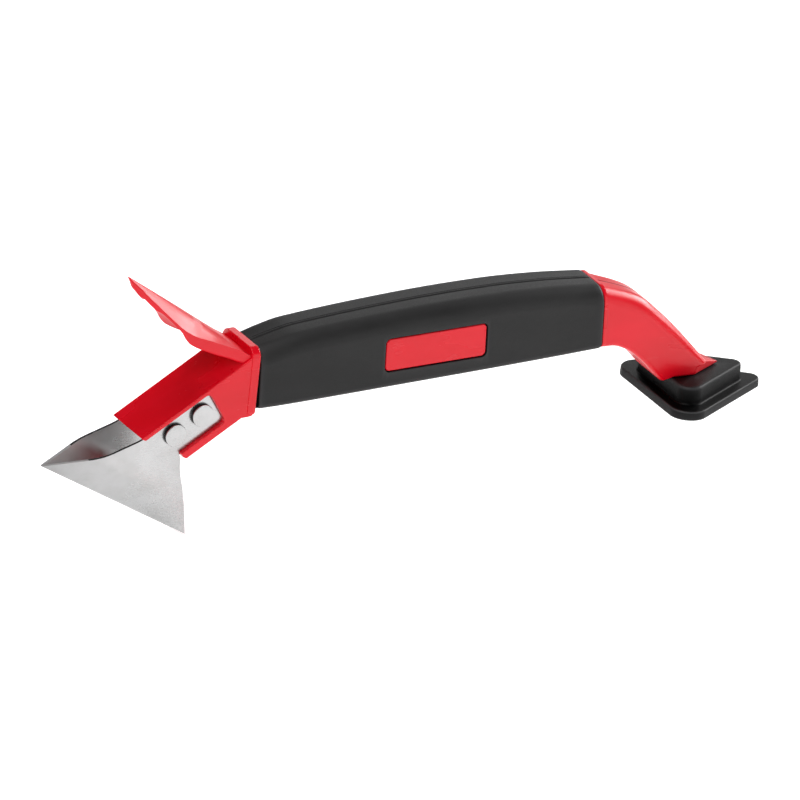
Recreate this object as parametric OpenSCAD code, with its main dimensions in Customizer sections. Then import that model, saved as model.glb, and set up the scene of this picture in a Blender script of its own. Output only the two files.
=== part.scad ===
// Hand tool for stripping and finishing sealant joints, millimetres, +Z up.
// X runs from the steel blade to the finishing pad, Y across the tool.
// The origin is on the pad's sole, under the foot, and the sole is level at Z = 0.
// The handle slopes a little against the sole, so its own frame is turned about Y.

/* [Handle] */
// Length of the soft grip between the collar and the end lip
grip_length = 120; // [110:1:130]
// Width of the grip across its middle
grip_width = 21.8; // [20:0.2:25]
// Thickness of the soft grip over the spine, top and bottom
grip_wall = 3; // [2.4:0.1:3.6]
// Distance from the pad's origin back to the arm end of the grip
arm_reach = 37; // [35:0.5:40]
// Height of the grip's underside over the handle frame's X axis, at its head end
grip_base_z = 22.8; // [22.4:0.2:24]
// Slope of the handle against the sole, degrees
handle_pitch = 3; // [2:0.5:4]
// Length of the label plate on each side
label_length = 35; // [20:1:45]
// Height of the label plate
label_height = 10.7; // [6:0.1:12]

/* [Head] */
// Slope of the head down to its nose, degrees
head_slope = 30; // [26:1:33]
// Height of the head, square to its slope
head_height = 15.7; // [14:0.1:18]
// Width of the head
head_width = 20.2; // [19:0.1:21]
// Depth of the side recess that the blade's tab lies in
recess_depth = 2.6; // [1.8:0.1:2.8]
// Width of the dark groove between the collar and the grip
collar_gap = 1.3; // [1.2:0.1:1.7]

/* [Fin] */
// Slope of the scraper fin's ridge, degrees
fin_slope = 36.4; // [34:0.2:40]
// Length of the fin's ridge from its point to the collar
fin_length = 48.7; // [44:0.1:54]
// Length of the pointed part of the fin
fin_point = 22; // [18:0.5:24]
// Width of the fin across its parallel part
fin_width = 18.4; // [16:0.2:20]
// Thickness of the fin's plate
fin_plate = 1.5; // [1.2:0.1:2]

/* [Blade] */
// Thickness of the blade's sheet
sheet = 0.9; // [0.6:0.1:1.2]
// Length of the sharp fold along the blade's keel
keel_length = 61.1; // [50:0.1:62]
// Slope of the keel, degrees
keel_slope = 31.2; // [29:0.2:34]
// Height of the wing's crease above the keel, square to it
crease_height = 12.1; // [10:0.1:14]
// Diameter of the flat rivet heads
rivet_head_d = 7.3; // [6:0.1:8]
// Distance between the two rivets
rivet_pitch = 10.5; // [9:0.1:12]

/* [Finishing pad] */
// Width of the triangular sole between its sharp corners
pad_width = 54.4; // [50:0.2:56]
// Length of the sole from its straight edge to its sharp apex
pad_length = 42.6; // [38:0.1:44]
// Thickness of the sole
sole_thickness = 2.9; // [2:0.1:4]
// Height of the top of the raised block above the sole's face
block_top = 8.6; // [7:0.1:9]
// Set-in of the block from the sole's edge
block_inset = 3.9; // [3:0.1:4.4]
// Running gap round the foot's tenon in the pad's pocket
pocket_gap = 0.3; // [0.25:0.05:0.4]

/* [Hidden] */
through = 40;                 // longer than any cut has to be
skin = 0.01;                  // thickness of a section between two hulled stretches

// Places along the handle
grip_x1 = -arm_reach;
grip_x0 = grip_x1 - grip_length;
collar_t = 2.9;
lip_t = 1.3;
grip_widest = 21.8;           // width across the grip's stations as they are listed
spine_width = 15.2;
label_x = grip_x0 + 60.9;     // centre of the label plate
label_z = 34.6;

// Head frame: s runs back up the slope from the nose, n is square to the top face
nose = [-197.2, 19.5];
function head_at(s, n) = [nose[0] + s * cos(head_slope) - n * sin(head_slope),
                          nose[1] + s * sin(head_slope) + n * cos(head_slope)];
head_half = head_width / 2;
tab_rim = 1.3;                // plastic left over the tab's upper edge
tab_end = 25.6;
tab_low = -13;
rivet_s = [10, 10 + rivet_pitch];
rivet_n = -6.7;

// Blade frame: s runs down the keel from the point, m is square to it
tip = [-227.5, 11.1];
function keel_at(s, m) = [tip[0] + s * cos(keel_slope) + m * sin(keel_slope),
                          tip[1] - s * sin(keel_slope) + m * cos(keel_slope)];
wing_out = head_half - recess_depth + sheet;   // outer face of a wing from the middle plane
wing_in = wing_out - sheet;
wing_lean = atan(wing_out / crease_height);

// Fin frame: s runs down the ridge from the point, n is square to it
fin_tip = [-199.6, 70.6];
fin_drop = 4.2;               // how far the fin's edges lie below its ridge where it is widest

// Rivets
shank_r = 1.6;
tube_r = 2.5;
hole_r = 2.55;
rivet_head_h = 1.4;

// Foot and tenon, in the sole's frame
foot_back = -13.6;            // the heel, which overhangs the block
tenon_back = -10.2;           // back of the tenon's plan before it is set in
foot_front = -2.2;
foot_toe = 9.5;
foot_half = 7.1;
shoulder_z = block_top + pocket_gap;
tenon_z = 3.6;
tenon_inset = 1;

// Turns the handle's frame about Y into the frame of the level sole
module in_handle() rotate([0, -handle_pitch, 0]) children();

// Extrudes an XZ outline across the tool, centred on the middle plane
module across(width) rotate([90, 0, 0]) linear_extrude(width, center = true) children();

// Extrudes a YZ outline along +X
module along(length) rotate([90, 0, 90]) linear_extrude(length) children();

// YZ outline of a bar: half width, bottom, top and the radii of its long edges
module bar_section(half, low, high, r_low, r_high) {
    for (side = [-1, 1]) {
        translate([side * (half - r_low), low + r_low]) circle(r_low, $fn = 32);
        translate([side * (half - r_high), high - r_high]) circle(r_high, $fn = 32);
    }
    translate([-half + r_low, low]) square([2 * (half - r_low), r_low]);
    translate([-half + r_high, high - r_high]) square([2 * (half - r_high), r_high]);
    translate([-half, low + r_low]) square([2 * half, high - low - r_low - r_high]);
}

// Grip stations: share of the length, height of the top, half width
grip_stations = [[0, 42.4, 10.2], [0.055, 44, 10.6], [0.13, 45.6, 10.8],
                 [0.45, 47.5, 10.9], [0.7, 47.6, 10.9], [0.86, 46.6, 10.7], [1, 44.9, 10.3]];
function grip_low(share) = grip_base_z + 1.5 * share;

module grip_slice(i) {
    share = grip_stations[i][0];
    half = grip_stations[i][2] + (grip_width - grip_widest) / 2;
    translate([grip_x0 + share * grip_length, 0, 0])
        along(skin) bar_section(half, grip_low(share), grip_stations[i][1], 2, 5.5);
}

module grip_outer()
    for (i = [0 : len(grip_stations) - 2])
        hull() {
            grip_slice(i);
            grip_slice(i + 1);
        }

// Spine inside the grip, arched with it, and its through holes that lock the soft grip
module spine() difference() {
    intersection() {
        across(spine_width) polygon(concat(
            [for (p = grip_stations) [grip_x0 - 1 + p[0] * (grip_length + 2), p[1] - grip_wall]],
            [[grip_x1 + 1, grip_low(1) + grip_wall], [grip_x0 - 1, grip_low(0) + grip_wall]]));
        translate([grip_x0 - 1, 0, 0]) along(grip_length + 2)
            bar_section(spine_width / 2, grip_base_z + grip_wall, 45.5, 2, 3);
    }
    for (share = [0.09, 0.21, 0.76, 0.88])
        translate([grip_x0 + share * grip_length, 0, label_z]) rotate([90, 0, 0])
            cylinder(r = 3, h = through, center = true, $fn = 48);
}

// Raised plate on each side of the spine that shows in the grip's window
module label_plates() {
    r = 1.4;
    across(grip_width - 0.5) translate([label_x, label_z]) {
        square([label_length - 2 * r, label_height], center = true);
        square([label_length, label_height - 2 * r], center = true);
        for (sx = [-1, 1], sz = [-1, 1])
            translate([sx * (label_length / 2 - r), sz * (label_height / 2 - r)])
                circle(r, $fn = 32);
    }
}

module head_block() difference() {
    across(head_width) polygon([
        head_at(0, 0), head_at(9.2, -head_height), head_at(30.6, -head_height),
        [grip_x0 - 3.5, grip_base_z - 1.6], [grip_x0 - 2, grip_base_z - 1.3],
        [grip_x0 - 2, 41.5], head_at(39.5, 0)]);
    for (side = [-1, 1])
        translate([0, side * (wing_in + through / 2), 0]) across(through) polygon([
            head_at(-2, -tab_rim), head_at(tab_end + 0.4, -tab_rim),
            head_at(tab_end + 0.4, tab_low - 0.3), head_at(8.6, tab_low - 0.3),
            head_at(8.6, -head_height - 2), head_at(-2, -head_height - 2)]);
}

// Flange that closes the head end, and the smaller neck in the groove behind it
module collar() {
    low = grip_base_z - 1.3;
    lean = 1.2;               // how far the flange's top leans towards the grip
    intersection() {
        across(through) polygon([
            [grip_x0 - collar_gap - collar_t, low], [grip_x0 - collar_gap, low],
            [grip_x0 - collar_gap + lean, 44], [grip_x0 - collar_gap - collar_t + lean, 44]]);
        translate([grip_x0 - through, 0, 0]) along(2 * through) bar_section(10.4, low, 43.8, 1.5, 3.4);
    }
    translate([grip_x0 - collar_gap - 0.1, 0, 0])
        along(collar_gap + 0.1) bar_section(9.2, grip_base_z + 0.4, 41.4, 1.5, 4);
}

// Skin over a row of rings that have the same number of points each
module skin_over(rings) {
    n = len(rings[0]);
    last = n * (len(rings) - 1);
    polyhedron(points = [for (r = rings) each r], faces = concat(
        [[for (k = [n - 1 : -1 : 0]) k]], [[for (k = [0 : n - 1]) last + k]],
        [for (i = [0 : len(rings) - 2], k = [0 : n - 1])
            each let (a = i * n + k, b = i * n + (k + 1) % n) [[a, b + n, a + n], [a, b, b + n]]]));
}

// Fin stations: place along its ridge, half width, drop of the edges, depth of the edges
fin_stations = [[0, 0.2, 0.1, 0.3], [2, 0.9, 0.4, 1.2], [fin_point, fin_width / 2, fin_drop, 1.5],
                [fin_point + 4, fin_width / 2, fin_drop, 2], [34, fin_width / 2, 2.7, 3.4],
                [40, fin_width / 2, 1.3, 3.5], [fin_length + 2, fin_width / 2, 0.1, 3.2]];

// Pointed arched fin over the head: a ridge at its point, flattening to its root in the collar
module fin() translate([fin_tip[0], 0, fin_tip[1]]) rotate([0, fin_slope, 0])
    skin_over([for (p = fin_stations) [
        [p[0], 0, 0], [p[0], p[1], -p[2]], [p[0], p[1], -p[2] - p[3]],
        [p[0], 0, -min(p[3], fin_plate) - 0.3 * p[2]],
        [p[0], -p[1], -p[2] - p[3]], [p[0], -p[1], -p[2]]]]);

module end_lip() translate([grip_x1, 0, 0])
    along(lip_t) bar_section(10, grip_low(1) + 0.2, 44.6, 2, 5);

// Arm stations: foot of the section, top of the section, half width, edge radius
arm_stations = [[[-36, 24.8], [-35.8, 43.9], 9.6, 3.4], [[-26.4, 21.3], [-22.3, 38.3], 9, 3.4],
                [[-21, 16.6], [-14.9, 32], 8.5, 3.2], [[-16.6, 11.6], [-6.6, 23.4], 7.8, 2.6],
                [[-13.2, 9], [2.6, 12.6], 7.1, 1.6]];

module arm_slice(p) {
    rise = p[1] - p[0];
    translate([p[0][0], 0, p[0][1]]) rotate([0, atan2(rise[0], rise[1]), 0])
        along(skin) bar_section(p[2], 0, norm(rise), 1.2, p[3]);
}

module arm() for (i = [0 : len(arm_stations) - 2])
    hull() {
        arm_slice(arm_stations[i]);
        arm_slice(arm_stations[i + 1]);
    }

// Plan of the foot: straight sides and a pointed toe, set in by the given amount
module foot_plan(inset, back) polygon([
    [back + inset, foot_half - inset], [foot_front, foot_half - inset],
    [foot_toe - 1.9 * inset, 0],
    [foot_front, -foot_half + inset], [back + inset, -foot_half + inset]]);

module foot() {
    intersection() {
        translate([0, 0, shoulder_z]) linear_extrude(through) foot_plan(0, foot_back);
        across(through) polygon([
            [foot_back, shoulder_z], [foot_toe, shoulder_z], [foot_toe, 9.5],
            [foot_front, 13.9], [-9, 13.9], [foot_back, 9.7]]);
    }
    translate([0, 0, tenon_z]) linear_extrude(shoulder_z - tenon_z + 0.5)
        foot_plan(tenon_inset, tenon_back);
}

module rivet_axis(i) {
    p = head_at(rivet_s[i], rivet_n);
    translate([p[0], 0, p[1]]) rotate([90, 0, 0]) children();
}

module core() color("crimson") {
    in_handle() difference() {
        union() {
            head_block();
            collar();
            fin();
            spine();
            label_plates();
            end_lip();
            arm();
        }
        for (i = [0, 1])
            rivet_axis(i) cylinder(r = hole_r, h = through, center = true, $fn = 48);
    }
    foot();
}

module grip_sleeve() color("dimgray") in_handle() difference() {
    grip_outer();
    spine();
    label_plates();
}

// One folded sheet: a keel, two leaning wings and two upright tabs beside the head
module blade() color("silver") in_handle() difference() {
    intersection() {
        translate([tip[0], 0, tip[1]]) rotate([0, keel_slope, 0])
            translate([-5, 0, 0]) along(keel_length + 40) polygon([
                [0, 0], [wing_out, crease_height], [wing_out, 60],
                [wing_in, 60], [wing_in, crease_height + sheet * tan(wing_lean / 2)],
                [0, sheet / sin(wing_lean)],
                [-wing_in, crease_height + sheet * tan(wing_lean / 2)], [-wing_in, 60],
                [-wing_out, 60], [-wing_out, crease_height]]);
        across(through) polygon([
            tip, keel_at(13.6, crease_height), head_at(0, -tab_rim - 0.2),
            head_at(tab_end - 1.5, -tab_rim - 0.2), head_at(tab_end, -tab_rim - 1.7),
            head_at(tab_end, tab_low + 1.5), head_at(tab_end - 1.5, tab_low),
            head_at(8.4, tab_low), keel_at(38.8, 22.6), keel_at(40.4, 19.8), keel_at(42.6, 17.1),
            keel_at(45, 14.6), keel_at(47.2, crease_height), keel_at(keel_length, 0)]);
    }
    for (i = [0, 1])
        rivet_axis(i) cylinder(r = hole_r, h = through, center = true, $fn = 48);
}

module rivet_head() {
    cylinder(d = rivet_head_d, h = rivet_head_h - 0.3, $fn = 64);
    translate([0, 0, rivet_head_h - 0.3])
        cylinder(d1 = rivet_head_d, d2 = rivet_head_d - 0.6, h = 0.3, $fn = 64);
}

// Solid half of a two-piece rivet, its head on the near tab (-Y)
module rivet_pin(i) color("gainsboro") in_handle() rivet_axis(i) {
    translate([0, 0, wing_out]) rivet_head();
    translate([0, 0, -6]) cylinder(r = shank_r + 0.02, h = wing_out + 6.2, $fn = 48);
}

// Hollow half, its head on the far tab (+Y)
module rivet_cap(i) color("gainsboro") in_handle() rivet_axis(i) difference() {
    union() {
        translate([0, 0, -wing_out]) mirror([0, 0, 1]) rivet_head();
        translate([0, 0, -wing_out - 0.2]) cylinder(r = tube_r, h = 2 * wing_out, $fn = 48);
    }
    translate([0, 0, -wing_out + 0.6]) cylinder(r = shank_r, h = through, $fn = 48);
}

// Corner arc of a rounded outline: centre, radius, first and last direction
function arc(c, r, a0, a1) = [for (k = [0 : 8])
    let (a = a0 + (a1 - a0) * k / 8) [c[0] + r * cos(a), c[1] + r * sin(a)]];

pad_back = -15;
pad_side = atan(pad_width / 2 / pad_length);   // lean of the two long sides from X

// Plan of the pad: a triangle with rounded corners, set in by the given amount
module pad_plan(inset, r_back, r_apex) {
    apex_x = pad_back + pad_length - inset / sin(pad_side) - r_apex / sin(pad_side);
    back_x = pad_back + inset + r_back;
    back_y = (pad_back + pad_length - inset / sin(pad_side) - back_x) * tan(pad_side)
        - r_back / cos(pad_side);
    polygon(concat(
        arc([apex_x, 0], r_apex, -90 + pad_side, 90 - pad_side),
        arc([back_x, back_y], r_back, 90 - pad_side, 180),
        arc([back_x, -back_y], r_back, 180, 270 + pad_side)));
}

module finishing_pad() color("black") difference() {
    union() {
        linear_extrude(sole_thickness) pad_plan(0, 6.4, 3.5);
        linear_extrude(block_top) pad_plan(block_inset, 4.5, 3);
    }
    translate([0, 0, tenon_z - pocket_gap])
        linear_extrude(through) foot_plan(tenon_inset - pocket_gap, tenon_back);
}

core();
grip_sleeve();
blade();
rivet_pin(0);  // rivet_front
rivet_pin(1);  // rivet_rear
rivet_cap(0);  // rivet_cap_front
rivet_cap(1);  // rivet_cap_rear
finishing_pad();
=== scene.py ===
"""Looks of a sealant strip-and-finish tool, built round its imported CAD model.

Shapes are drawn in millimetres, as in the part's source, and placed in metres. X runs from the
steel blade to the finishing pad, Y across the tool and Z up. The handle's pieces are drawn in the
handle's own frame, which slopes a little against the level sole of the pad.
"""
import math

import bmesh
import bpy
from mathutils import Matrix, Vector


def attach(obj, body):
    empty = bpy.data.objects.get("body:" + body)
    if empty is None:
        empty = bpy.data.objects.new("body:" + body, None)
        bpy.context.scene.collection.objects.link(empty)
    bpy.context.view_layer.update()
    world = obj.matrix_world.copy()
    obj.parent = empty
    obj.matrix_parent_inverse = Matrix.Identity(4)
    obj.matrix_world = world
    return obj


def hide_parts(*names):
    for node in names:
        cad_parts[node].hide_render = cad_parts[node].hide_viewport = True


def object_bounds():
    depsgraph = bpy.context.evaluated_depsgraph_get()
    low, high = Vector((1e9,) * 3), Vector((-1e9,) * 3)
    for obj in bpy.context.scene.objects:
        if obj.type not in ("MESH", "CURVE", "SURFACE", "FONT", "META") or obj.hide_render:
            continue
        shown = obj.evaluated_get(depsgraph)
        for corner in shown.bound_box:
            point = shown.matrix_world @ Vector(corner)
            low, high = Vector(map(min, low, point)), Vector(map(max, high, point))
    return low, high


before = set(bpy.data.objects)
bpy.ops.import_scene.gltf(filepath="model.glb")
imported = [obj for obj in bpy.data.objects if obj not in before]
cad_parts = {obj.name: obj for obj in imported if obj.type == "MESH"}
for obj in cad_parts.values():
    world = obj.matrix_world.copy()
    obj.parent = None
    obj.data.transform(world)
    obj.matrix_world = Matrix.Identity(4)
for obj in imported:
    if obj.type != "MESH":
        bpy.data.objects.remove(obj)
cad_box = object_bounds()

MM = 0.001
HANDLE_PITCH = 3.0                       # slope of the handle against the sole, degrees
HANDLE = Matrix.Rotation(math.radians(-HANDLE_PITCH), 4, "Y")
SCENE = bpy.context.scene
CLEAR = 20.0                             # a cutting shape runs this far, past the tool's outside


# ---------------------------------------------------------------- shapes in the plane

def turned(degrees):
    """Cosine and sine of an angle."""
    return math.cos(math.radians(degrees)), math.sin(math.radians(degrees))


def softened(outline, setbacks, steps=8):
    """Closed outline with its corners rounded: each corner starts to turn at its own set-back."""
    points = []
    for i, corner in enumerate(outline):
        corner = Vector(corner)
        before = Vector(outline[i - 1]) - corner
        after = Vector(outline[(i + 1) % len(outline)]) - corner
        reach = setbacks[i] if isinstance(setbacks, (list, tuple)) else setbacks
        if reach <= 0:
            points.append(corner)
            continue
        a, b = corner + before.normalized() * reach, corner + after.normalized() * reach
        for k in range(steps + 1):
            t = k / steps
            points.append(a * (1 - t) ** 2 + corner * 2 * t * (1 - t) + b * t ** 2)
    return points


def arc(centre, radius, first, last, steps):
    """Points on a circular arc between two directions in degrees."""
    return [(centre[0] + radius * turned(first + (last - first) * k / steps)[0],
             centre[1] + radius * turned(first + (last - first) * k / steps)[1])
            for k in range(steps + 1)]


def through(knots, t):
    """Smooth curve through knots (t, value, value ...), evaluated at t."""
    last = len(knots) - 2
    i = max(k for k in range(last + 1) if k == 0 or knots[k][0] <= t)
    before, a, b, after = knots[max(i - 1, 0)], knots[i], knots[i + 1], knots[min(i + 2, last + 1)]
    span = b[0] - a[0]
    w = (t - a[0]) / span
    values = []
    for j in range(1, len(a)):
        slope_a = (b[j] - before[j]) / max(b[0] - before[0], 1e-9) * span
        slope_b = (after[j] - a[j]) / max(after[0] - a[0], 1e-9) * span
        values.append((2 * w ** 3 - 3 * w ** 2 + 1) * a[j] + (w ** 3 - 2 * w ** 2 + w) * slope_a
                      + (3 * w ** 2 - 2 * w ** 3) * b[j] + (w ** 3 - w ** 2) * slope_b)
    return values


def bar_section(half, low, high, r_low, r_high, inset=0.0, seam=0.0, steps=9):
    """Outline (y, z) of a bar with rounded long edges; a seam is a fine welt along its top."""
    half, low, high = half - inset, low + inset, high - inset
    r_low, r_high = max(r_low - inset, 0.2), max(r_high - inset, 0.2)
    ring = arc((half - r_low, low + r_low), r_low, -90, 0, steps)
    ring += arc((half - r_high, high - r_high), r_high, 0, 90, steps)
    if seam:
        ring += [(0.95, high), (0.6, high - seam), (0.25, high + seam / 2), (-0.25, high + seam / 2),
                 (-0.6, high - seam), (-0.95, high)]
    ring += arc((-half + r_high, high - r_high), r_high, 90, 180, steps)
    ring += arc((-half + r_low, low + r_low), r_low, 180, 270, steps)
    return ring


# ---------------------------------------------------------------- solids

def object_from(name, bm):
    """Object from a closed mesh, with its faces turned outwards."""
    bmesh.ops.recalc_face_normals(bm, faces=bm.faces)
    if bm.calc_volume(signed=True) < 0:
        bmesh.ops.reverse_faces(bm, faces=bm.faces)
    mesh = bpy.data.meshes.new(name)
    bm.to_mesh(mesh)
    bm.free()
    made = bpy.data.objects.new(name, mesh)
    SCENE.collection.objects.link(made)
    return made


def loft(name, rings, turn=None):
    """Closed skin over rings of 3-D points, with a flat cap at each end."""
    bm = bmesh.new()
    rows = [[bm.verts.new(turn @ Vector(p) if turn else p) for p in ring] for ring in rings]
    count = len(rows[0])
    for a, b in zip(rows, rows[1:]):
        for k in range(count):
            bm.faces.new((a[k], a[(k + 1) % count], b[(k + 1) % count], b[k]))
    bm.faces.new(rows[0][::-1])
    bm.faces.new(rows[-1])
    return object_from(name, bm)


def prism(name, outline, y_from, y_to):
    """Side outline (x, z) drawn out across the tool."""
    return loft(name, [[(p[0], y, p[1]) for p in outline] for y in (y_from, y_to)])


def slab(name, outline, z_from, z_to):
    """Plan outline (x, y) drawn out upwards."""
    return loft(name, [[(p[0], p[1], z) for p in outline] for z in (z_from, z_to)])


def lathe(name, profile, centre, segments=72):
    """Profile (radius, y) turned about an axis along Y through centre (x, z)."""
    rings = [[(centre[0] + r * math.cos(a), y, centre[1] + r * math.sin(a))
              for a in (2 * math.pi * k / segments for k in range(segments))] for r, y in profile]
    return loft(name, rings)


def settle(piece):
    """Turns the piece's modifiers into mesh."""
    graph = bpy.context.evaluated_depsgraph_get()
    solid = bpy.data.meshes.new_from_object(piece.evaluated_get(graph))
    old = piece.data
    piece.modifiers.clear()
    piece.data = solid
    bpy.data.meshes.remove(old)
    return piece


def combine(piece, other, operation, solver="EXACT"):
    """Boolean of two solids; the other one is used up."""
    step = piece.modifiers.new("combine", "BOOLEAN")
    step.solver = solver
    step.operation = operation
    step.object = other
    settle(piece)
    bpy.data.objects.remove(other)
    return piece


def clean(piece):
    """Joins the flat faces and drops the doubled points that a boolean leaves."""
    bm = bmesh.new()
    bm.from_mesh(piece.data)
    bmesh.ops.remove_doubles(bm, verts=bm.verts, dist=0.002)
    bmesh.ops.dissolve_limit(bm, angle_limit=math.radians(0.3), verts=bm.verts, edges=bm.edges)
    bm.to_mesh(piece.data)
    bm.free()
    return piece


def round_edges(piece, width, segments=3, angle=32):
    """Rounds the edges that turn by more than angle."""
    step = piece.modifiers.new("round", "BEVEL")
    step.width = width
    step.segments = segments
    step.limit_method = "ANGLE"
    step.angle_limit = math.radians(angle)
    step.miter_outer = "MITER_ARC"
    return settle(piece)


def melt(pieces, voxel, passes):
    """Joins overlapping solids into one skin with soft inner corners, as a moulding has."""
    first = pieces[0]
    bm = bmesh.new()
    for p in pieces:
        bm.from_mesh(p.data)
    bm.to_mesh(first.data)
    bm.free()
    for p in pieces[1:]:
        bpy.data.objects.remove(p)
    skin = first.modifiers.new("skin", "REMESH")
    skin.mode = "VOXEL"
    skin.voxel_size = voxel
    soft = first.modifiers.new("soft", "SMOOTH")
    soft.factor = 0.5
    soft.iterations = passes
    return settle(first)


def fit(piece, finish, body, nodes, turn=HANDLE, sharp=38):
    """Puts a piece drawn in millimetres in its place, with its finish, body and CAD nodes."""
    piece.data.transform(Matrix.Scale(MM, 4) @ turn)
    piece.data.materials.clear()         # drops the empty slot that a boolean may leave
    for material in finish if isinstance(finish, tuple) else (finish,):
        piece.data.materials.append(material)
    piece.data.shade_smooth()
    piece.data.set_sharp_from_angle(angle=math.radians(sharp))
    normals = piece.modifiers.new("normals", "WEIGHTED_NORMAL")
    normals.keep_sharp = True
    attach(piece, body)
    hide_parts(*nodes)
    return piece


def darken(piece, across, reach):
    """Second finish for the faces that turn less than across to a side, past reach from the middle."""
    for face in piece.data.polygons:
        if abs(face.normal.y) < across and abs(face.center.y) > reach * MM:
            face.material_index = 1


# ---------------------------------------------------------------- finishes

class Finish:
    """A Principled material and short calls that build its pattern from nodes."""

    def __init__(self, name, metallic=0.0, specular=0.5):
        self.material = bpy.data.materials.new(name)
        self.material.use_nodes = True
        self.tree = self.material.node_tree
        self.shader = self.tree.nodes["Principled BSDF"]
        self.shader.inputs["Metallic"].default_value = metallic
        self.shader.inputs["Specular IOR Level"].default_value = specular
        self.place = self.add("ShaderNodeTexCoord").outputs["Object"]

    def add(self, kind, **settings):
        node = self.tree.nodes.new(kind)
        for key, value in settings.items():
            setattr(node, key, value)
        return node

    def feed(self, socket, value):
        """Links another socket to this one, or sets a plain value on it."""
        if isinstance(value, bpy.types.NodeSocket):
            self.tree.links.new(value, socket)
        else:
            socket.default_value = value

    def noise(self, size_mm, detail=3.0, stretch=(1, 1, 1), roughness=0.55):
        """Noise from 0 to 1 with blotches of about size_mm, drawn out by stretch."""
        mapping = self.add("ShaderNodeMapping")
        self.feed(mapping.inputs["Vector"], self.place)
        self.feed(mapping.inputs["Scale"], tuple(1 / (size_mm * MM * s) for s in stretch))
        node = self.add("ShaderNodeTexNoise")
        self.feed(node.inputs["Vector"], mapping.outputs["Vector"])
        self.feed(node.inputs["Scale"], 1.0)
        self.feed(node.inputs["Detail"], detail)
        self.feed(node.inputs["Roughness"], roughness)
        return node.outputs["Fac"]

    def span(self, value, low, high, to_low=0.0, to_high=1.0):
        """Value from low to high mapped smoothly to to_low and to_high."""
        node = self.add("ShaderNodeMapRange", interpolation_type="SMOOTHSTEP")
        for key, number in (("Value", value), ("From Min", low), ("From Max", high),
                            ("To Min", to_low), ("To Max", to_high)):
            self.feed(node.inputs[key], number)
        return node.outputs["Result"]

    def math(self, operation, a, b=0.0):
        node = self.add("ShaderNodeMath", operation=operation)
        self.feed(node.inputs[0], a)
        self.feed(node.inputs[1], b)
        return node.outputs[0]

    def mix(self, share, a, b):
        """Colour a where share is 0, colour b where it is 1."""
        node = self.add("ShaderNodeMix", data_type="RGBA")
        for key, value in (("Factor", share), ("A", a), ("B", b)):
            self.feed(node.inputs[key], value)
        return node.outputs["Result"]

    def seam(self, half_mm):
        """1 on the mould's parting line in the middle plane, 0 beside it."""
        split = self.add("ShaderNodeSeparateXYZ")
        self.feed(split.inputs[0], self.place)
        return self.span(self.math("ABSOLUTE", split.outputs["Y"]), half_mm * MM, half_mm * MM * 0.3)

    def edges(self, low, high):
        """1 on outer edges, where hands and surfaces wear and where painted highlights lie, 0 on flat
        faces.
        """
        return self.span(self.add("ShaderNodeNewGeometry").outputs["Pointiness"], low, high)

    def bump(self, height, depth_mm, normal=None):
        node = self.add("ShaderNodeBump")
        self.feed(node.inputs["Distance"], depth_mm * MM)
        self.feed(node.inputs["Height"], height)
        if normal is not None:
            self.feed(node.inputs["Normal"], normal)
        return node.outputs["Normal"]

    def done(self, colour, roughness, normal):
        self.feed(self.shader.inputs["Base Color"], colour)
        self.feed(self.shader.inputs["Roughness"], roughness)
        self.feed(self.shader.inputs["Normal"], normal)
        return self.material


def red_plastic(name, seam=False, rough=0.27):
    """Glossy moulded plastic: faint flow marks, a fine satin grain and light handling scuffs."""
    f = Finish(name, specular=0.38)
    flow = f.noise(14, detail=4, stretch=(3, 1, 1))
    grain = f.noise(0.35, detail=2)
    scuff = f.span(f.noise(2.2, detail=6, stretch=(4, 1, 1)), 0.62, 0.78)
    colour = f.mix(f.span(flow, 0.3, 0.7), (0.66, 0.0006, 0.009, 1), (0.73, 0.0015, 0.014, 1))
    colour = f.mix(f.math("MULTIPLY", scuff, 0.03), colour, (0.95, 0.5, 0.5, 1))
    roughness = f.math("ADD", f.span(flow, 0.25, 0.75, rough - 0.03, rough + 0.03),
                       f.math("MULTIPLY", scuff, 0.05))
    normal = f.bump(grain, 0.012)
    normal = f.bump(f.noise(5, detail=2), 0.03, normal)
    if seam:
        line = f.seam(0.5)
        colour = f.mix(f.math("MULTIPLY", line, 0.85), colour, (0.2, 0.0, 0.004, 1))
        roughness = f.math("ADD", roughness, f.math("MULTIPLY", line, 0.4))
        normal = f.bump(f.math("SUBTRACT", 1.0, line), 0.25, normal)
    return f.done(colour, roughness, normal)


def soft_rubber(name, dark, light, rough, grain_mm, rub_and_sheen, shine):
    """Matte moulded rubber: pebbled grain, dusty clouds, and outer edges made lighter, as rubbed wear
    and, where strong, as a painted highlight.
    """
    f = Finish(name, specular=shine)
    cloud = f.noise(18, detail=5, stretch=(2, 1, 1))
    grain = f.noise(grain_mm, detail=3)
    colour = f.mix(f.span(cloud, 0.3, 0.72), dark, light)
    # lighter outer edges: rubbed wear on the grip, and a painted highlight along the pad's edges where
    # the share is large
    colour = f.mix(f.math("MULTIPLY", f.edges(0.51, 0.6), rub_and_sheen), colour, (0.16, 0.16, 0.165, 1))
    roughness = f.math("ADD", f.span(cloud, 0.25, 0.75, rough - 0.05, rough + 0.05),
                       f.span(grain, 0.3, 0.7, -0.04, 0.06))
    normal = f.bump(grain, 0.03)
    normal = f.bump(f.noise(6, detail=2), 0.05, normal)
    return f.done(colour, roughness, normal)


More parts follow.
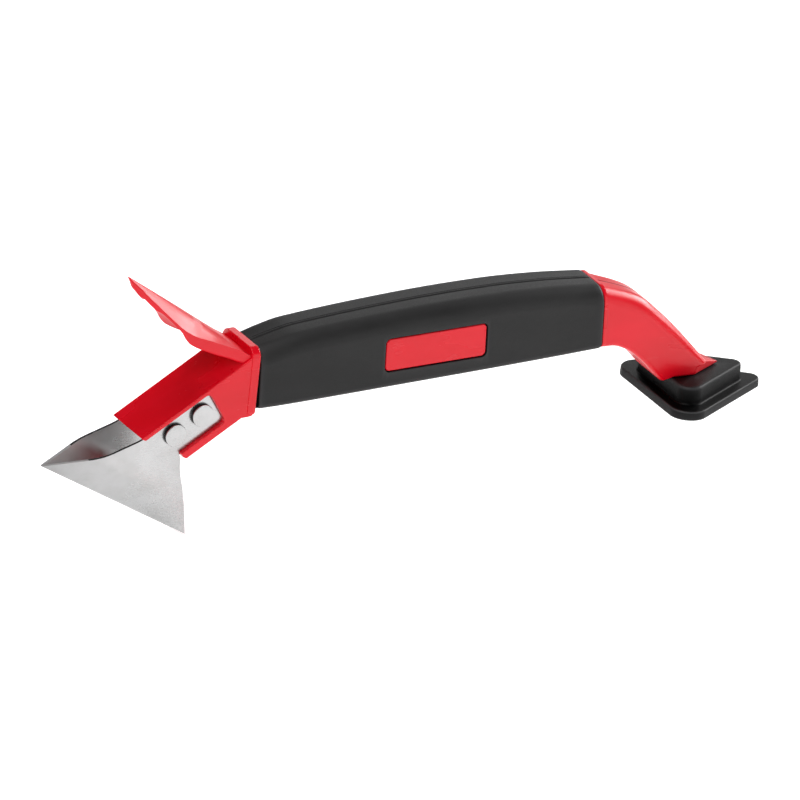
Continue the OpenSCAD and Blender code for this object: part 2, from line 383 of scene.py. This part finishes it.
def steel(name, tone, rough, brush_mm, stretch, stain, ground=None):
    """Rolled stainless steel: fine drawn lines, soft smudges and small nicks. Ground is the stretch
    of X, in millimetres, over which a duller ground point gives way to the rolled sheet."""
    f = Finish(name, metallic=1.0)
    lines = f.noise(brush_mm, detail=4, stretch=stretch)
    smudge = f.noise(9, detail=4)
    nick = f.span(f.noise(1.1, detail=5), 0.7, 0.8)
    bright = tuple(c * tone for c in (1.0, 1.0, 1.005)) + (1,)
    dull = tuple(c * tone * (1 - stain) for c in (1.0, 0.995, 0.99)) + (1,)
    colour = f.mix(f.span(smudge, 0.35, 0.75), bright, dull)
    colour = f.mix(f.math("MULTIPLY", nick, 0.35), colour, (0.3, 0.3, 0.31, 1))
    roughness = f.math("ADD", f.span(lines, 0.3, 0.7, rough - 0.02, rough + 0.03),
                       f.span(smudge, 0.3, 0.8, 0.0, 0.06))
    if ground:
        split = f.add("ShaderNodeSeparateXYZ")
        f.feed(split.inputs[0], f.place)
        point = f.span(split.outputs["X"], ground[0] * MM, ground[1] * MM, 1.0, 0.0)
        roughness = f.math("ADD", roughness, f.math("MULTIPLY", point, 0.55))
    return f.done(colour, roughness, f.bump(lines, 0.002))


RED = red_plastic("red_plastic")
RED_SEAMED = red_plastic("red_plastic_seamed", seam=True, rough=0.3)
RED_SATIN = red_plastic("red_plastic_satin", rough=0.35)
GRIP = soft_rubber("grip_rubber", (0.011, 0.0108, 0.011, 1), (0.019, 0.0188, 0.019, 1),
                   rough=0.5, grain_mm=0.4, rub_and_sheen=0.35, shine=0.25)
# near-black, dull rubber for the neck ring: painted shade in the groove before the head
GRIP_PAINTED_SHADE = soft_rubber("grip_rubber_painted_shade", (0.001, 0.001, 0.001, 1), (0.002, 0.002, 0.002, 1),
                        rough=0.7, grain_mm=0.4, rub_and_sheen=0, shine=0.02)
# its outer edges are lightened strongly: a painted highlight along them
PAD = soft_rubber("pad_rubber", (0.001, 0.001, 0.001, 1), (0.002, 0.002, 0.0021, 1),
                  rough=0.4, grain_mm=0.3, rub_and_sheen=0.9, shine=0.08)
BLADE = steel("blade_steel", tone=0.5, rough=0.24, brush_mm=0.25, stretch=(14, 1, 1), stain=0.12,
              ground=(-228, -194))
# near-black steel: the blade's cut edges, and painted shade on the side walls of the rivet heads
CUT_EDGE_AND_PAINTED_SHADE = steel("cut_edge_and_painted_shade", tone=0.04, rough=0.5, brush_mm=0.2, stretch=(1, 1, 1), stain=0.3)
RIVET = steel("rivet_steel", tone=0.5, rough=0.22, brush_mm=0.3, stretch=(1, 1, 1), stain=0.1)


# ---------------------------------------------------------------- the handle's frame

GRIP_END = -37.0                         # arm end of the grip
GRIP_LENGTH = 120.0
GRIP_START = GRIP_END - GRIP_LENGTH
GRIP_BASE = 22.8                         # underside of the grip at its head end
HEAD_SLOPE = 30.0                        # rise of the head's top face, degrees
HEAD_HEIGHT = 15.7
HEAD_HALF = 10.1
NOSE = (-197.2, 19.5)                    # upper front edge of the head
TAB_RIM, TAB_END, TAB_LOW = 1.3, 25.6, -13.0   # a tab's upper, back and lower edges on the head
TAB_FIT = 0.15                           # gap between a tab and its recess
KEEL_SLOPE = 31.2                        # fall of the blade's keel, degrees
KEEL_LENGTH = 61.1
CREASE = 12.1                            # height of the fold between keel side and wing
SHEET = 0.9
WING = 8.4                               # outer face of a wing from the middle plane
TIP = (-227.5, 11.1)                     # the blade's point


def head_at(s, n):
    """Place s up the head's slope from the nose and n square to its top face."""
    c, d = turned(HEAD_SLOPE)
    return NOSE[0] + s * c - n * d, NOSE[1] + s * d + n * c


def keel_at(s, m):
    """Place s down the keel from the blade's point and m square to it."""
    c, d = turned(KEEL_SLOPE)
    return TIP[0] + s * c + m * d, TIP[1] - s * d + m * c


def grip_low(share):
    """Height of the grip's underside, by the share of its length from the head end."""
    return GRIP_BASE + 1.5 * share


# Grip, by share of its length: its top, and its half width
GRIP_TOP = [(0, 42.4, 10.2), (0.055, 44, 10.6), (0.13, 45.6, 10.8), (0.45, 47.5, 10.9),
            (0.7, 47.6, 10.9), (0.86, 46.6, 10.7), (1, 44.9, 10.3)]
LABEL = (GRIP_START + 60.9, 34.6)        # centre of the label plate
LABEL_LENGTH, LABEL_HEIGHT = 35.0, 10.7


def label_outline(margin, corner):
    """Rounded rectangle of the label plate, grown by margin."""
    a, b = LABEL_LENGTH / 2 + margin - corner, LABEL_HEIGHT / 2 + margin - corner
    ring = []
    for quarter, (sx, sz) in enumerate(((1, 1), (-1, 1), (-1, -1), (1, -1))):
        ring += arc((LABEL[0] + sx * a, LABEL[1] + sz * b), corner, 90 * quarter, 90 * quarter + 90, 8)
    return ring


def make_grip():
    """Soft grip: arched top, flat sides, a fine parting ridge, rounded ends and two windows."""
    edge = 0.9                           # rounding at the two ends
    stations = [(0.0, edge), (0.12, edge * 0.5), (0.4, edge * 0.15), (edge, 0.0)]
    rows = [(x / GRIP_LENGTH, inset) for x, inset in stations]
    rows += [(edge / GRIP_LENGTH + (1 - 2 * edge / GRIP_LENGTH) * k / 72, 0.0) for k in range(1, 72)]
    rows += [(1 - x / GRIP_LENGTH, inset) for x, inset in reversed(stations)]
    rings = []
    for share, inset in rows:
        high, half = through(GRIP_TOP, share)
        x = GRIP_START + share * GRIP_LENGTH
        seam = 0.3 if inset < 0.2 else 0.05
        rings.append([(x, y, z) for y, z in
                      bar_section(half, grip_low(share), high, 2.2, 5.6, inset, seam)])
    grip = loft("grip_skin", rings)
    for side in (-1, 1):
        pocket = prism("pocket", label_outline(0.35, 1.8), side * 8.8, side * 13)
        combine(grip, pocket, "DIFFERENCE")
    fit(round_edges(grip, 0.22, 2, 50), GRIP, "tool", ["grip_sleeve"])
    # The neck ring in the groove takes a far darker rubber than the grip: painted shade.
    neck = loft("grip_neck", [[(x, y, z) for y, z in
                               bar_section(9.6, GRIP_BASE + 0.2, 41.6, 1.6, 4.2, inset)]
                              for x, inset in ((GRIP_START - 1.2, 0.5), (GRIP_START - 1.0, 0.1),
                                               (GRIP_START + 0.6, 0.0), (GRIP_START + 0.7, 0.3))])
    fit(neck, GRIP_PAINTED_SHADE, "tool", ["grip_sleeve"])


def make_labels():
    """Plain raised plate in each window, with softened edges."""
    face = 10.65
    for side, word in ((-1, "near"), (1, "far")):
        rows = [(8.6, 0.0), (face - 0.45, 0.0), (face - 0.2, -0.07), (face - 0.05, -0.22),
                (face, -0.45)]
        rings = [[(p[0], side * y, p[1]) for p in label_outline(margin, 1.4)] for y, margin in rows]
        fit(loft("label_plate_" + word, rings), RED, "tool", ["core"])


def make_head():
    """Sloping head with a recess for each tab, and its flange against the grip."""
    block = prism("head_moulding", [
        head_at(0, 0), head_at(9.2, -HEAD_HEIGHT), head_at(30.6, -HEAD_HEIGHT),
        (GRIP_START - 3.5, GRIP_BASE - 1.6), (GRIP_START - 2, GRIP_BASE - 1.3),
        (GRIP_START - 2, 41.5), head_at(39.5, 0)], -HEAD_HALF, HEAD_HALF)
    for side in (-1, 1):
        outline = softened([
            head_at(-2, -TAB_RIM), head_at(TAB_END + TAB_FIT, -TAB_RIM),
            head_at(TAB_END + TAB_FIT, TAB_LOW - TAB_FIT), head_at(8.6, TAB_LOW - TAB_FIT),
            head_at(8.6, -HEAD_HEIGHT - 2), head_at(-2, -HEAD_HEIGHT - 2)],
            [0, 1.8, 1.8, 0, 0, 0], 6)
        combine(block, prism("recess", outline, side * (WING - SHEET), side * 14), "DIFFERENCE")
    clean(block)
    fit(round_edges(block, 0.4), RED, "tool", ["core"])

    low, top, lean, thick, back = GRIP_BASE - 1.3, 43.8, 1.2, 2.9, GRIP_START - 1.3
    rings = []
    for x, inset in ((back - thick, 0.3), (back - thick + 0.05, 0.12), (back - thick + 0.15, 0.03),
                     (back - thick + 0.3, 0), (back - 0.6, 0), (back - 0.3, 0.05),
                     (back - 0.08, 0.25), (back, 0.6)):
        rings.append([(x + lean * (z - low) / (top - low), y, z)
                      for y, z in bar_section(10.4, low, top, 1.5, 3.4, inset)])
    fit(loft("collar_flange", rings), RED, "tool", ["core"])


FIN_TIP, FIN_SLOPE, FIN_LENGTH = (-199.6, 70.6), 36.4, 48.7
FIN_TURN = (Matrix.Translation((FIN_TIP[0], 0, FIN_TIP[1]))
            @ Matrix.Rotation(math.radians(FIN_SLOPE), 4, "Y"))
FIN_STEP = 0.5                           # one ring of points to each half millimetre
# Fin: (place along its ridge, half width, drop of its edges, depth of the edges' upright face,
# depth and set-in of the bevel under it)
FIN = [(0, 0.12, 0, 0.15, 0.1, 0.02), (1.5, 0.68, 0.3, 0.2, 0.5, 0.15),
       (4, 1.75, 0.84, 0.25, 1.15, 0.4), (8, 3.45, 1.65, 0.25, 1.25, 0.5),
       (12.4, 5.3, 2.5, 0.25, 1.25, 0.5), (14.4, 6.1, 2.88, 0.25, 0.65, 0.35),
       (18, 7.6, 3.5, 0.25, 0.6, 0.3), (21, 8.75, 4.0, 0.3, 0.6, 0.3),
       (23, 9.15, 4.2, 0.8, 0.5, 0.35), (25, 9.2, 4.2, 1.7, 0.5, 0.4),
       (28, 9.2, 3.95, 2.6, 0.5, 0.4), (34, 9.2, 2.6, 3.3, 0.5, 0.4),
       (39.7, 9.2, 1.34, 3.4, 0.5, 0.4), (44, 9.2, 0.55, 3.2, 0.5, 0.4),
       (51, 9.2, 0, 2.8, 0.5, 0.4)]


def make_fin():
    """Pointed arched scraper fin: bevelled underneath at its point, thick and flat at its root."""
    rings = []
    for k in range(round(FIN[-1][0] / FIN_STEP) + 1):
        s = FIN_STEP * k
        half, drop, face, bevel, under = through(FIN, s)
        crown = 0.2 * math.sin(math.pi * min(s / FIN_LENGTH, 1))   # the ridge bows up a little
        share = min(s / 30, 1)
        flat = half * (0.1 + 0.35 * share)
        inner = max(half - under - 0.02, half * 0.4)
        belly = -drop * 0.35 - min(1.5, face + bevel)
        cheek = min(-drop * 0.9 - 1.4 * share, belly) - 0.1
        brow = -drop * 0.12 + crown * 0.85
        flank = -drop * 0.62 + crown * 0.3
        top = [(-half, -drop), (-half * 0.72, flank), (-flat, brow), (0, crown),
               (flat, brow), (half * 0.72, flank), (half, -drop)]
        low = [(half, -drop - face), (inner, -drop - face - bevel), (inner * 0.72, cheek),
               (0, belly),
               (-inner * 0.72, cheek), (-inner, -drop - face - bevel), (-half, -drop - face)]
        rings.append([(s, y, z) for y, z in top + low])
    fin = loft("scraper_fin", rings, FIN_TURN)
    fit(round_edges(fin, 0.1, 2, 35), RED_SATIN, "tool", ["core"], sharp=30)


def make_lip():
    """Thin flange that the grip ends against."""
    rings = [[(GRIP_END + x, y, z) for y, z in
              bar_section(10.0, grip_low(1) + 0.2, 44.6, 2, 5, inset)]
             for x, inset in ((0, 0.3), (0.1, 0.06), (0.3, 0), (1.0, 0), (1.2, 0.08), (1.3, 0.4))]
    fit(loft("end_lip", rings), RED, "tool", ["core"])


# Arm, by place along it: its underside, its top, and its half width and upper edge radius
ARM_UNDER = [(0, -36.4, 24.5), (0.16, -31.5, 23.9), (0.36, -26.4, 21.3), (0.6, -21, 16.6),
             (0.82, -16.6, 11.6), (1, -13.4, 8.4)]
ARM_TOP = [(0, -36.4, 44.1), (0.29, -22.3, 38.3), (0.48, -14.9, 32), (0.71, -6.6, 23.4),
           (1, 2.9, 12.2)]
ARM_GIRTH = [(0, 9.6, 4.4), (0.3, 9.0, 4.8), (0.55, 8.4, 4.6), (0.8, 7.7, 3.8), (1, 7.1, 2.4)]
FOOT_BACK, FOOT_FRONT, FOOT_TOE, FOOT_HALF = -13.6, -2.2, 9.5, 7.1
SHOULDER = 8.9                           # underside of the foot, where its tenon starts
TENON_BACK, TENON_LOW, TENON_INSET = -10.2, 3.6, 1.0
POCKET_GAP = 0.3                         # clearance round the tenon in the pad's pocket


def foot_plan(inset, back):
    """Plan of the foot, with straight sides and a pointed toe, set in by inset."""
    return [(back + inset, -FOOT_HALF + inset), (FOOT_FRONT, -FOOT_HALF + inset),
            (FOOT_TOE - 1.9 * inset, 0), (FOOT_FRONT, FOOT_HALF - inset),
            (back + inset, FOOT_HALF - inset)]


def make_arm():
    """Curved arm that runs down into the pointed foot and the tenon under it, one skin."""
    rings = []
    for k in range(41):
        share = k / 40
        bottom, top = (Vector((x, 0, z)) for x, z in (through(ARM_UNDER, share),
                                                      through(ARM_TOP, share)))
        half, radius = through(ARM_GIRTH, share)
        rise = top - bottom
        up = rise.normalized()
        rings.append([bottom + up * z + Vector((0, y, 0))
                      for y, z in bar_section(half, 0, rise.length, 1.4, radius)])
    arm = loft("arm_and_foot", rings, HANDLE)
    foot = slab("foot", foot_plan(0, FOOT_BACK), SHOULDER, CLEAR)
    side = [(FOOT_BACK - 1, SHOULDER), (FOOT_TOE + 1, SHOULDER), (FOOT_TOE + 1, 9.2), (FOOT_TOE, 9.5),
            (FOOT_FRONT, 13.9), (-9, 13.9), (FOOT_BACK - 1, 9.7)]
    combine(foot, prism("side", side, -CLEAR, CLEAR), "INTERSECT")
    tenon = slab("tenon", foot_plan(TENON_INSET, TENON_BACK), TENON_LOW, SHOULDER + 0.8)
    fit(melt([arm, foot, tenon], 0.22, 14), RED_SEAMED, "tool", ["core"],
        Matrix.Identity(4), sharp=60)


# ---------------------------------------------------------------- steel

def blade_section():
    """Outlines (y, m) of the folded sheet's outer and inner faces, with rounded folds."""
    line = WING - SHEET / 2
    fold = softened([(-line, 62), (-line, CREASE), (0, 0.55), (line, CREASE), (line, 62)],
                    [0, 2.6, 0.9, 2.6, 0], 10)
    outer, inner = [], []
    for i, p in enumerate(fold):
        ahead = (fold[min(i + 1, len(fold) - 1)] - fold[max(i - 1, 0)]).normalized()
        out = Vector((ahead.y, -ahead.x)) * SHEET / 2
        outer.append(p + out)
        inner.append(p - out)
    inner[0].y = inner[-1].y = 70        # the hollow runs out past the sheet's upper edges
    return outer, inner


def along_keel(name, section, start):
    """Closed section (y, m) drawn out down the keel, to well past the blade's end."""
    rings = []
    for s in (start, KEEL_LENGTH + 40 + start):
        rings.append([(keel_at(s, m)[0], y, keel_at(s, m)[1]) for y, m in section])
    return loft(name, rings)


def make_blade():
    """One folded sheet: sharp keel, two leaning wings, and two upright tabs beside the head."""
    outer, inner = blade_section()
    blade = along_keel("blade_sheet", outer, -8)
    hollow = along_keel("hollow", inner, -9)
    outline = softened([
        TIP, keel_at(13.6, CREASE), head_at(0, -TAB_RIM - TAB_FIT),
        head_at(TAB_END, -TAB_RIM - TAB_FIT), head_at(TAB_END, TAB_LOW),
        head_at(8.4, TAB_LOW), keel_at(38.8, 22.6), keel_at(40.4, 19.8), keel_at(42.6, 17.1),
        keel_at(45, 14.6), keel_at(47.2, CREASE), keel_at(KEEL_LENGTH, 0)],
        [0.4, 4, 2, 1.7, 1.7, 0.3, 1, 1.2, 1.2, 1.2, 1.2, 0.3], 8)
    combine(blade, prism("outline", outline, -CLEAR, CLEAR), "INTERSECT", "MANIFOLD")
    combine(blade, hollow, "DIFFERENCE", "MANIFOLD")
    clean(blade)
    round_edges(blade, 0.1, 2, 55)
    fit(blade, (BLADE, CUT_EDGE_AND_PAINTED_SHADE), "tool", ["blade"], sharp=32)
    darken(blade, 0.3, 1.5)


def make_rivets():
    """Two press rivets: the solid halves have their heads on the near tab, the hollow on the far."""
    head, rise, soft = 3.65, 1.4, 0.25
    for s, word in ((10, "front"), (20.5, "rear")):
        centre = head_at(s, -6.7)
        face = [(head - soft * 1.6, WING + rise), (head - soft, WING + rise - 0.03),
                (head - soft * 0.35, WING + rise - soft * 0.4), (head, WING + rise - soft),
                (head, WING + 0.02)]
        solid = [(0.02, WING + rise + 0.06), (1.6, WING + rise + 0.04), *face, (1.6, WING), (1.6, -6)]
        hollow = [(0.02, WING + rise + 0.06), (1.6, WING + rise + 0.04), *face, (2.5, WING),
                  (2.5, -WING + 0.4), (1.65, -WING + 0.4), (1.65, WING - 0.6)]
        for side, half, profile, node in ((-1, "solid", solid, "rivet_"),
                                          (1, "hollow", hollow, "rivet_cap_")):
            piece = lathe(f"rivet_{half}_{word}", [(r, side * y) for r, y in profile], centre)
            fit(piece, (RIVET, CUT_EDGE_AND_PAINTED_SHADE), "tool", [node + word], sharp=35)
            # the heads' side walls take the near-black steel: painted shade, a dark crescent beside
            # each head
            darken(piece, 0.2, WING)


# ---------------------------------------------------------------- pad

PAD_WIDTH, PAD_LENGTH, PAD_BACK = 54.4, 42.6, -15.0
PAD_LEAN = math.degrees(math.atan(PAD_WIDTH / 2 / PAD_LENGTH))
SOLE_TOP, BLOCK_TOP, BLOCK_INSET = 2.9, 8.6, 3.9


def pad_plan(inset, r_back, r_apex):
    """Triangle with a straight back edge, two rounded corners and a rounded apex."""
    c, d = turned(PAD_LEAN)
    point = PAD_BACK + PAD_LENGTH - inset / d
    back_x = PAD_BACK + inset + r_back
    back_y = (point - back_x) * d / c - r_back / c
    ring = arc((point - r_apex / d, 0), r_apex, -90 + PAD_LEAN, 90 - PAD_LEAN, 18)
    ring += arc((back_x, back_y), r_back, 90 - PAD_LEAN, 180, 18)
    return ring + arc((back_x, -back_y), r_back, 180, 270 + PAD_LEAN, 18)


def make_pad():
    """Soft pad: a thin triangular sole, a raised block with rounded shoulders, and its pocket."""
    rings = []

    def level(z, inset, block=False):
        r_back, r_apex, base = (4.5, 3.0, BLOCK_INSET) if block else (6.4, 3.5, 0)
        plan = pad_plan(base + inset, r_back - inset, r_apex - inset)
        rings.append([(x, y, z) for x, y in plan])

    for z, inset in ((0, 0.5), (0.06, 0.2), (0.25, 0.03), (0.5, 0), (SOLE_TOP - 0.6, 0.12),
                     (SOLE_TOP - 0.3, 0.18), (SOLE_TOP - 0.08, 0.36), (SOLE_TOP, 0.7)):
        level(z, inset)
    for z, inset in ((SOLE_TOP, -0.7), (SOLE_TOP + 0.08, -0.3), (SOLE_TOP + 0.4, -0.06),
                     (SOLE_TOP + 0.9, 0), (BLOCK_TOP - 1.1, 0.15), (BLOCK_TOP - 0.6, 0.24),
                     (BLOCK_TOP - 0.25, 0.46), (BLOCK_TOP - 0.06, 0.8), (BLOCK_TOP, 1.3)):
        level(z, inset, block=True)
    pad = loft("pad_body", rings)
    pocket = slab("pocket", foot_plan(TENON_INSET - POCKET_GAP, TENON_BACK),
                  TENON_LOW - POCKET_GAP, CLEAR)
    combine(pad, pocket, "DIFFERENCE")
    fit(round_edges(pad, 0.12, 2, 60), PAD, "pad", ["finishing_pad"],
        Matrix.Identity(4), sharp=50)


make_grip()
make_labels()
make_head()
make_fin()
make_lip()
make_arm()
make_blade()
make_rivets()
make_pad()


# ---------------------------------------------------------------- studio

def make_floor():
    """Seamless pale floor, level with the tool's lowest point."""
    size = 6.0
    bpy.ops.mesh.primitive_grid_add(x_subdivisions=2, y_subdivisions=2, size=size,
                                    location=(0, 0, cad_box[0].z))
    floor = bpy.context.object
    floor.name = "floor"
    f = Finish("floor_paper", specular=0.2)
    tone = f.mix(f.noise(60, detail=3), (0.93, 0.93, 0.93, 1), (0.95, 0.95, 0.95, 1))
    floor.data.materials.append(f.done(tone, 0.8, f.bump(f.noise(1.5), 0.01)))
    f.shader.inputs["Emission Color"].default_value = (1, 1, 1, 1)
    f.shader.inputs["Emission Strength"].default_value = 0.55


def make_light(name, direction, distance, size, power):
    """Soft box that faces the middle of the tool."""
    aim = (cad_box[0] + cad_box[1]) / 2
    data = bpy.data.lights.new(name, "AREA")
    data.shape = "RECTANGLE"
    data.size, data.size_y = size
    data.energy = power
    light = bpy.data.objects.new(name, data)
    SCENE.collection.objects.link(light)
    back = Vector(direction).normalized()
    light.location = aim + back * distance
    light.rotation_euler = (-back).to_track_quat("-Z", "Y").to_euler()


def make_camera():
    """Long lens at the viewing angle of a catalogue shot, rolled a little."""
    azimuth, elevation, roll = -30.21, 22.35, 6.1
    distance, lens = 10.0, 1456.0        # far off, so that there is almost no perspective
    aim = Vector((-0.1025, 0, 0.0081))
    ca, sa = turned(azimuth)
    ce, se = turned(elevation)
    cr, sr = turned(roll)
    right = Vector((ca, sa, 0))
    back = Vector((sa * ce, -ca * ce, se))
    up = back.cross(right)
    right, up = right * cr + up * sr, up * cr - right * sr
    data = bpy.data.cameras.new("camera")
    data.lens = lens
    data.sensor_width = 36
    camera = bpy.data.objects.new("camera", data)
    SCENE.collection.objects.link(camera)
    turn = Matrix((right, up, back)).transposed().to_4x4()
    camera.matrix_world = Matrix.Translation(aim + back * distance) @ turn
    SCENE.camera = camera


make_floor()
make_light("key_right", (0.9, 0.2, 0.36), 0.9, (0.5, 0.4), 6.6)
make_light("fill_front", (0.6, -1.0, 0.35), 1.3, (1.0, 0.7), 3.6)
make_light("fill_left", (-0.6, -0.5, 0.65), 1.2, (0.6, 0.6), 6)
make_light("back_right", (0.5, 0.8, 0.42), 1.1, (0.6, 0.5), 1.5)
make_light("top", (-0.25, 0.1, 1.0), 1.2, (0.7, 0.7), 5.5)
make_camera()

world = bpy.data.worlds.new("studio")
world.use_nodes = True
backdrop = world.node_tree.nodes["Background"]
backdrop.inputs["Color"].default_value = (1, 1, 1, 1)
backdrop.inputs["Strength"].default_value = 0.05
SCENE.world = world
SCENE.view_settings.view_transform = "Standard"
